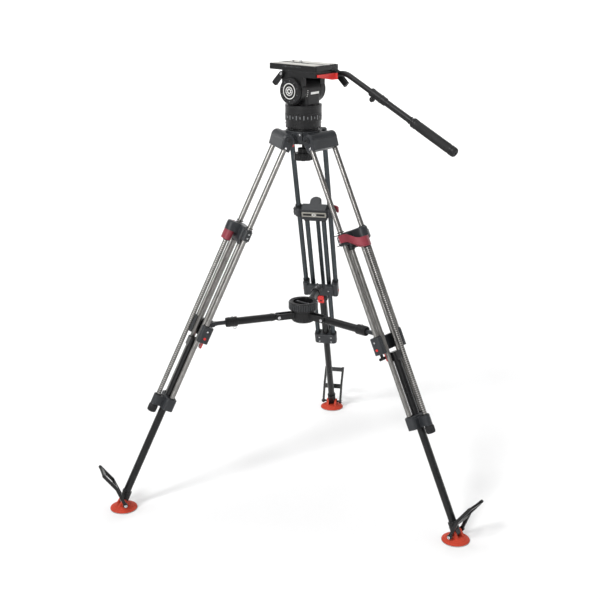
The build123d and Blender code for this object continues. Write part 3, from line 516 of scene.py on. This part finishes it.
def trim_brackets(leg):
    """Buttons, screws, seals and the knurled knob of the two lower brackets."""
    upper, middle = "leg_" + leg.name, "middle_" + leg.name
    buttons = Piece(f"release_buttons_{leg.name}")
    screws = Piece(f"bracket_screws_{leg.name}")
    seals = Piece(f"bracket_seals_{leg.name}")
    for sign in (1, -1):
        buttons.add(button(4.2, 2.4), leg.facing(676, sign * 63, -8, leg.side * sign))
        screws.add(cap_screw(3.0, 1.8), leg.facing(652, sign * 63, -8, leg.side * sign))
        screws.add(cap_screw(2.6, 1.6), leg.facing(664, sign * 30, -28.5, leg.normal * -1))
        seals.add(ring(8.1, 10.6, 0, 2.4), leg.facing(637, sign * UPPER_W, 0, leg.down * -1, leg.side))
    buttons.finish(RED, upper, "red")
    screws.finish(STEEL, upper, "steel")
    seals.finish(SEAL, upper, "grip_rubber")

    mid_screws = Piece(f"mid_bracket_screws_{leg.name}")
    for w in (-22, 22):
        for s in (915, 936):
            mid_screws.add(cap_screw(3.0, 1.8), leg.facing(s, w, -18, leg.normal * -1))
    mid_screws.finish(STEEL, middle, "steel")
    mid_seals = Piece(f"mid_bracket_seals_{leg.name}")
    mid_seals.add(ring(12.2, 15.6, 0, 3.4), leg.facing(946, 0, 3, leg.down, leg.side))
    for sign in (1, -1):
        mid_seals.add(ring(8.1, 10.4, 0, 2.2), leg.facing(905, sign * MID_W, 0, leg.down * -1, leg.side))
    mid_seals.add(ring(7.1, 10.6, 0, 2.4), leg.facing(913, 0, ROD_N, leg.down * -1, leg.side))
    mid_seals.finish(SEAL, middle, "grip_rubber")

    knob = "lock_knob_" + leg.name
    knurl = turned(((14.0, 0), (14.9, 0.8), (14.9, 17.2), (14.0, 18)), ribs=(30, 0.7, (1, 2)))
    single(f"knob_knurl_{leg.name}", knurl, leg.facing(KNOB_S, 0, ROD_N, leg.down, leg.side),
           BLACK_PLASTIC, knob, "knob_black")
    marks = Piece(f"knob_marks_{leg.name}")
    for shape in (ring(9.6, 10.8, 0, 0.5), button(3.0, 0.9)):
        marks.add(shape, leg.facing(KNOB_END_S, 0, ROD_N, leg.down, leg.side))
    marks.finish(SILVER, knob, "steel")


def trim_foot(leg):
    """Sole, ridges, pin caps and the lower tube's end collar."""
    pad = "foot_pad_" + leg.name
    ground = stand(Vector((leg.ankle.x, leg.ankle.y, 0)), UP, leg.out)
    edge = ((39, 0.1), (44.3, 0.1), (44.5, 0.6), (44.5, 2.4), (44.2, 2.9), (39, 2.9))
    single(f"sole_{leg.name}", turned(edge, steps=64, closed=True), ground, SOLE, pad, "grip_rubber")
    ridges = Piece(f"pad_ridges_{leg.name}")
    for radius in (30.5, 37.5):
        height = 4 + (43 - radius) * 11 / 18    # the pad's cone under the ridge
        profile = ((radius + 2.2, height - 1.4), (radius + 1.5, height), (radius + 0.4, height + 0.75),
                   (radius - 0.9, height + 1.1), (radius - 2.2, height + 0.8))
        ridges.add(turned(profile, steps=64, closed=True), ground)
    ridges.finish(PAD_RED, pad, "pad_red")
    caps = Piece(f"ankle_pin_caps_{leg.name}")
    for sign in (1, -1):
        spot = leg.ankle + leg.side * sign * ANKLE_PIN_END * MM
        caps.add(cap_screw(5.2, 2.0), stand(spot, leg.side * sign, UP))
    caps.finish(STEEL, "lower_" + leg.name, "steel")
    ankle_s = (leg.ankle - leg.hinge).dot(leg.down) / MM
    single(f"ankle_collar_{leg.name}", ring(12.1, 15.4, 0, 5),
           leg.facing(ankle_s - 38, 0, 2, leg.down, leg.side), BLACK_METAL, "lower_" + leg.name, "black_metal")


def trim_arm(leg):
    """Pins at the hub, grooved collar, seal lip and lock screw of one spreader arm."""
    arm = "arm_inner_" + leg.name
    caps = Piece(f"hub_pin_caps_{leg.name}")
    for sign in (1, -1):
        caps.add(cap_screw(5.4, 1.8), stand(leg.hub_pivot + leg.side * sign * 15 * MM, leg.side * sign, UP))
    caps.finish(STEEL, "hub", "steel")

    def along(distance, drop=0.0):
        """Point of the arm, given in millimetres outwards and down from its hub pin."""
        return leg.hub_pivot + (leg.out * distance - UP * drop) * MM

    bands = Piece(f"arm_bands_{leg.name}")
    for start in (140.5, 152, 163.5):
        bands.add(ring(15.2, 16.2, 0, 7), stand(along(start), leg.out, UP))
    bands.add(ring(12.2, 13.2, 0, 5), stand(along(20), leg.out, UP))
    bands.finish(BLACK_PLASTIC, arm, "knob_black")
    single(f"arm_seal_{leg.name}", ring(11.6, 15.3, 0, 2.2), stand(along(174), leg.out, UP), SEAL, arm,
           "grip_rubber")
    single(f"arm_lock_screw_{leg.name}", cap_screw(3.2, 2.0), stand(along(156, -16.0), UP, leg.out), STEEL, arm,
           "steel")
    if leg.name == "front_left":
        eyelet = Piece("arm_eyelet")
        turns = [math.radians(degrees) for degrees in range(0, 360, 45)]
        wire = [(5 + 1.1 * math.cos(turn), 1.1 * math.sin(turn)) for turn in turns]
        eyelet.add(turned(wire, steps=32, closed=True), stand(along(147, 20.5), leg.side, UP))
        eyelet.add(button(3.0, 3.0), stand(along(147, 16.0), UP * -1, leg.out))
        eyelet.finish(STEEL, arm, "steel")


for leg in LEGS:
    trim_yoke(leg)
    trim_clamp(leg)
    trim_brackets(leg)
    trim_foot(leg)
    trim_arm(leg)
rear = LEGS[1]
clip = Piece("transport_clip")
clip.add(slab(rounded(9, 30, 3), 5, 1.0), rear.facing(706, 53.5, -3, rear.normal * -1))
clip.add(slab(rounded(22, 10, 3), 5, 1.0), rear.facing(696, 53.5, -3, rear.normal * -1))
clip.finish(BLACK_PLASTIC, "leg_rear", "knob_black")


# ------------------------------------------------------------------ hub and crown trim
def level(z):
    """Level frame on the crown axis at height z, in metres."""
    return stand(CROWN_AXIS + UP * z, UP, ACROSS)


def around(count, radius, z, start=0.0):
    """Frames that look outwards from a circle about the crown axis."""
    for index in range(count):
        turn = math.radians(start) + 2 * math.pi * index / count
        outward = AHEAD * math.cos(turn) + ACROSS * math.sin(turn)
        yield stand(CROWN_AXIS + outward * radius * MM + UP * z, outward, UP)


HUB_TOP = CROWN_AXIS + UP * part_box("hub_body")[1].z
single("hub_handle", slab(rounded(9, 62, 3), 1.6, 0.4), stand(HUB_TOP - UP * 6 * MM, UP, ACROSS),
       GREY_METAL, "hub", "grey_metal")
handle_screws = Piece("hub_handle_screws")
for y in (-24, 24):
    handle_screws.add(cap_screw(2.8, 1.4), stand(HUB_TOP + (AHEAD * y - UP * 4.4) * MM, UP, ACROSS))
handle_screws.finish(STEEL, "hub", "steel")
single("hub_grip", turned(((46.6, 0), (48.6, 1), (48.6, 21), (47.4, 22.5)), ribs=(36, 1.9, (1, 2))),
       stand(HUB_TOP - UP * 23.5 * MM, UP, ACROSS), GREY_METAL, "hub", "grey_metal")
single("hub_rim", ring(43.0, 46.2, 0, 0.9), stand(HUB_TOP, UP, ACROSS), BLACK_METAL, "hub", "black_metal")

knob_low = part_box("tie_down_knob")[0]
single("tie_down_cap", turned(((17, -0.4), (17, 0.8), (15.5, 1.6), (6, 1.6), (5, 0.7), (0, 0.7)), steps=48),
       stand(CROWN_AXIS + UP * knob_low.z, UP * -1, ACROSS), BLACK_METAL, "tie_down_knob", "black_metal")
crown_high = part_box("crown")[1]
rim_screws = Piece("crown_screws")
for place in around(3, 62, crown_high.z - 8 * MM):
    rim_screws.add(cap_screw(3.0, 1.6), place)
rim_screws.finish(STEEL, "crown", "steel")


# ------------------------------------------------------------------ head trim
DIAL = "tilt_drag_dial"
dial_low, dial_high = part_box("tilt_drag_dial")
DIAL_FACE = stand(Vector((dial_low.x, TILT_AXIS.y, TILT_AXIS.z)), ACROSS * -1, UP)
DIAL_BACK = stand(Vector((dial_high.x, TILT_AXIS.y, TILT_AXIS.z)), ACROSS * -1, UP)
single("dial_grip", turned(((39.0, 1.2), (40.9, 2.2), (40.9, 7.4), (39.6, 8.6)), ribs=(44, 0.9, (1, 2))),
       DIAL_BACK, BLACK_PLASTIC, DIAL, "knob_black")
single("dial_face", turned(((24.6, -0.4), (24.6, 0.9), (23.8, 1.2), (0, 1.2)), steps=64), DIAL_FACE,
       BLACK_METAL, DIAL, "black_metal")
rings = Piece("dial_rings")
for inner, outer in ((21.6, 24.4), (11.6, 14.0), (4.4, 7.4)):
    rings.add(ring(inner, outer, 0.9, 2.0), DIAL_FACE)
for index in range(8):
    rings.add(slab(rounded(4.4, 1.5, 0.5), 0.8, 0.15), DIAL_FACE @ spin(45 * index + 22.5) @ shift(9.2, 0, 1.1))
rings.finish(SILVER, DIAL, "steel")
ticks = Piece("dial_ticks")
for index in range(10):
    ticks.add(slab(rounded(4.5, 1.1, 0.4), 0.5, 0.1), DIAL_FACE @ spin(36 * index) @ shift(31.5, 0, 0))
ticks.finish(PALE, DIAL, "steel")

CHEEK_FACE = stand(Vector((56 * MM, TILT_AXIS.y, TILT_AXIS.z)), ACROSS, UP)
single("cheek_cap", turned(((31, -0.4), (31, 1.8), (29.6, 2.8), (16, 2.8), (15, 1.6), (0, 1.6)), steps=64),
       CHEEK_FACE, BLACK_PLASTIC, "tilt_frame", "knob_black")
cheek_screws = Piece("cheek_screws")
for index in range(6):
    cheek_screws.add(cap_screw(2.4, 1.4), CHEEK_FACE @ spin(60 * index + 30) @ shift(22.5, 0, 2.8))
cheek_screws.add(button(6.0, 1.6), CHEEK_FACE @ shift(0, 0, 1.6))
cheek_screws.finish(STEEL, "tilt_frame", "steel")

BARREL = stand(TILT_AXIS, ACROSS, AHEAD)
single("barrel_strip", slab(band(42.3, 43.1, 186, 199), 38, 0.15), BARREL @ shift(0, 0, -14),
       SILVER, "head", "steel")
dots = Piece("barrel_dots")
for angle in (178, 186, 194, 202, 210):
    dots.add(button(1.5, 0.7), BARREL @ shift(0, 0, -29) @ spin(angle) @ spin(90, "Y") @ shift(0, 0, 42.5))
dots.finish(SILVER, "head", "steel")

collar_low, collar_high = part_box("pan_drag_ring")
ring_marks = Piece("drag_ring_marks")
for index, place in enumerate(around(30, 57.0, (collar_low.z + collar_high.z) / 2)):
    ring_marks.add(slab(rounded(13 if index % 2 else 7, 3.0, 0.8), 0.7, 0.2), place)
ring_marks.finish(PALE, "pan_drag_ring", "knob_black")
base_screws = Piece("pan_base_screws")
for place in around(6, 55.2, 1239 * MM, 15):
    base_screws.add(cap_screw(2.6, 1.2), place)
base_screws.finish(BLACK_METAL, "ball", "black_metal")
single("head_collar_band", ring(56.9, 57.6, 0, 3.0), level(1288 * MM), BLACK_METAL, "head", "black_metal")

vial_place = stand(CROWN_AXIS + AHEAD * -49.5 * MM + UP * 1296 * MM, UP, ACROSS)
single("vial_bezel", ring(5.6, 7.2, -0.3, 1.6), vial_place, BLACK_METAL, "head", "black_metal")
single("vial_window", button(5.7, 1.2), vial_place, VIAL, "head", "steel")
single("vial_bubble", ring(1.6, 2.1, 1.1, 1.35), vial_place, PALE, "head", "steel")


# ------------------------------------------------------------------ plate trim
plate_low, plate_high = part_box("camera_plate")
PLATE_MIDDLE = Vector((0, (plate_low.y + plate_high.y) / 2, plate_high.z))
inlay = Piece("plate_inlay")
for sign in (1, -1):
    middle = PLATE_MIDDLE + ACROSS * sign * 31 * MM
    inlay.add(slab(rounded(42, 176, 4), 0.8, 0.25), stand(middle, UP, ACROSS))
    for index in range(9):
        rib = middle + (ACROSS * (index - 4) * 4.4 + UP * 0.7) * MM
        inlay.add(slab(rounded(1.8, 168, 0.8), 0.5, 0.2), stand(rib, UP, ACROSS))
inlay.finish(INLAY, "camera_plate", "grip_rubber")
plate_screws = Piece("plate_screws")
for x in (-10, 10):
    for y in (-91, 91):
        spot = PLATE_MIDDLE + (ACROSS * x + AHEAD * y) * MM
        plate_screws.add(cap_screw(2.2, 0.7), stand(spot, UP, ACROSS))
plate_screws.finish(STEEL, "camera_plate", "steel")
scale_marks = Piece("plate_scale")
for index in range(15):
    length = 6 if index % 5 == 2 else 3.5
    spot = Vector((plate_low.x, PLATE_MIDDLE.y + (index - 7) * 5 * MM, plate_high.z - 6 * MM))
    scale_marks.add(slab(rounded(length, 0.7, 0.2), 0.25, 0.05), stand(spot, ACROSS * -1, UP))
scale_marks.finish(PALE, "camera_plate", "steel")


# ------------------------------------------------------------------ pan bar trim
GRIP_RADIUS = 14.0
GRIP_LENGTH = 173.0
grip_low, grip_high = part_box("bar_grip")
grip_middle = (grip_low + grip_high) / 2
GRIP_END = grip_middle + BAR_DOWN * GRIP_LENGTH / 2 * MM


def down_bar(distance):
    """Frame across the bar's straight part, at a distance in millimetres above the grip's lower end."""
    return stand(GRIP_END - BAR_DOWN * distance * MM, BAR_DOWN, ACROSS)


single("grip_ribs", turned(((13.6, 0), (14.5, 1.2), (14.5, 116), (13.6, 118)), ribs=(26, 0.45, (1, 2))),
       down_bar(145), GRIP, "bar_extension", "grip_rubber")
bands = Piece("grip_bands")
for distance in (168, 160, 20, 12):
    bands.add(ring(13.4, 14.9, 0, 5), down_bar(distance))
bands.finish(BLACK_PLASTIC, "bar_extension", "knob_black")
stripe_up = (ACROSS * -1).cross(BAR_DOWN)
single("grip_stripe", slab(rounded(96, 5, 2.2), 0.9, 0.3),
       stand(grip_middle + stripe_up * GRIP_RADIUS * MM, stripe_up, BAR_DOWN),
       GREY_METAL, "bar_extension", "grey_metal")
sleeve_rings = Piece("sleeve_rings")
for distance, radius in ((341, 13.3), (303, 13.3), (290, 11.2), (182, 11.6)):
    sleeve_rings.add(ring(radius - 1.4, radius, 0, 4.5), down_bar(distance))
sleeve_rings.finish(BLACK_METAL, "bar_extension", "black_metal")
single("bar_rosette", turned(((14.4, 0), (15.9, 0.6), (15.9, 5.4), (14.4, 6)), ribs=(36, 1.0, (1, 2))),
       stand(Vector((58.5 * MM, BAR_PIVOT.y, BAR_PIVOT.z)), ACROSS, UP), BLACK_METAL, "pan_bar", "black_metal")
lever_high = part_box("bar_clamp_lever")[1]
single("bar_clamp_cap", cap_screw(5.6, 2.4),
       stand(Vector((lever_high.x, BAR_PIVOT.y, BAR_PIVOT.z)), ACROSS, UP), STEEL, "bar_clamp_lever", "steel")
brake = Vector(JOINTS["tilt_brake_hinge"]["pos_m"])
brake_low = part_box("tilt_brake_lever")[0]
single("tilt_brake_cap", cap_screw(4.0, 1.8), stand(Vector((brake_low.x, brake.y, brake.z)), ACROSS * -1, UP),
       STEEL, "tilt_brake_lever", "steel")


# ------------------------------------------------------------------ stage
VIEW_TURN = math.radians(49.2)    # the camera looks this far to the left of +Y
VIEW_DOWN = math.radians(18.16)
VIEW_FROM = Vector((-2.558, -2.1937, 1.7595))    # from the foot of the crown axis, in metres
FLOOR_REACH = 9.0                 # flat part of the floor, and the curve behind it
FLOOR_CURVE = 4.0


def make_stage():
    """Pale floor that curves up far away, soft light from all round, and the camera."""
    profile = [(0.0, 0.0), (FLOOR_REACH, 0.0)]
    for degrees in range(9, 91, 9):
        turn = math.radians(degrees)
        profile.append((FLOOR_REACH + FLOOR_CURVE * math.sin(turn), FLOOR_CURVE - FLOOR_CURVE * math.cos(turn)))
    shape = turned([(radius / MM, height / MM) for radius, height in profile], steps=96)
    mesh = bpy.data.meshes.new("studio_floor")
    shape.to_mesh(mesh)
    shape.free()
    mesh.transform(Matrix.Translation(CROWN_AXIS) @ Matrix.Scale(MM, 4))
    for polygon in mesh.polygons:
        polygon.use_smooth = True
    floor = bpy.data.objects.new("studio_floor", mesh)
    bpy.context.scene.collection.objects.link(floor)
    paper = Finish("white_paper", roughness=0.9, specular=0.05)
    paper.set("Base Color", paper.mix(paper.noise(3.0), colour(0.9), colour(0.93)))
    mesh.materials.append(paper.material)

    world = bpy.data.worlds.new("studio")
    bpy.context.scene.world = world
    world.use_nodes = True
    world.node_tree.nodes["Background"].inputs["Color"].default_value = colour(1.0)
    world.node_tree.nodes["Background"].inputs["Strength"].default_value = 0.3

    camera = bpy.data.cameras.new("camera")
    camera.sensor_width = 36.0
    camera.lens = 64.58
    camera.clip_end = 60.0
    viewer = bpy.data.objects.new("camera", camera)
    viewer.location = CROWN_AXIS + VIEW_FROM
    viewer.rotation_euler = (math.pi / 2 - VIEW_DOWN, 0, -VIEW_TURN)
    bpy.context.scene.collection.objects.link(viewer)
    bpy.context.scene.camera = viewer

    def sun(name, azimuth, height, spread, strength):
        """Soft light, in degrees: azimuth clockwise from the camera's line of sight, height, spread."""
        turn = VIEW_TURN + math.radians(azimuth)
        rise = math.radians(height)
        direction = (AHEAD * math.cos(turn) + ACROSS * math.sin(turn)) * math.cos(rise) + UP * math.sin(rise)
        light = bpy.data.lights.new(name, "SUN")
        light.angle = math.radians(spread)
        light.energy = strength
        lamp = bpy.data.objects.new(name, light)
        lamp.rotation_euler = direction.to_track_quat("Z", "Y").to_euler()
        bpy.context.scene.collection.objects.link(lamp)

    sun("key_light", 222, 42, 14, 1.5)
    sun("left_light", 290, 62, 40, 0.7)
    sun("sheen_light", 209, 13, 22, 2.4)
    sun("right_light", 110, 60, 40, 0.35)
    sun("back_light", 10, 60, 40, 0.6)
    bpy.context.scene.view_settings.view_transform = "Standard"


make_stage()
